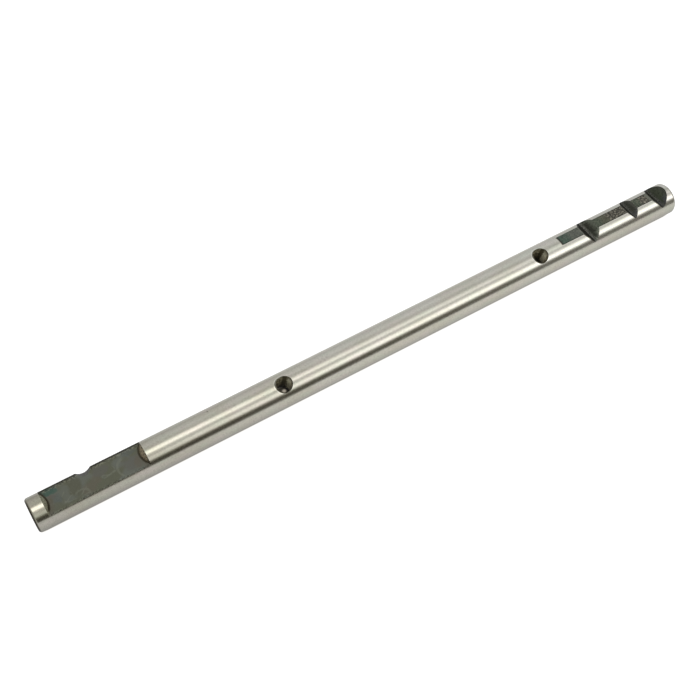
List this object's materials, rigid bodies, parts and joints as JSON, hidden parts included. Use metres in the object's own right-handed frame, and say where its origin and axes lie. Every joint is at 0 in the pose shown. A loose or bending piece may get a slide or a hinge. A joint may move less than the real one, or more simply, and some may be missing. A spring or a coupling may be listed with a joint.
{
  "type": "gear selector rail",
  "caption": "Ground steel gearbox selector rail with a milled lever pocket, cross holes for fork pins and V-shaped detent notches.",
  "frame": {"origin": "on the rail's axis at mid-length, which is the centre of its box", "axes": "+X along the rail from the stub end to the detent end, +Z the way the pocket's floor and the detent notches face, +Y the side with the round interlock groove"},
  "size_m": [0.3454, 0.016, 0.016],
  "materials": {
    "ground_steel": "fine ground shank, with blackened milled faces in the pocket, flat and notches"
  },
  "bodies": {
    "root": {"selector_rail": "ground_steel"}
  },
  "joints": []
}
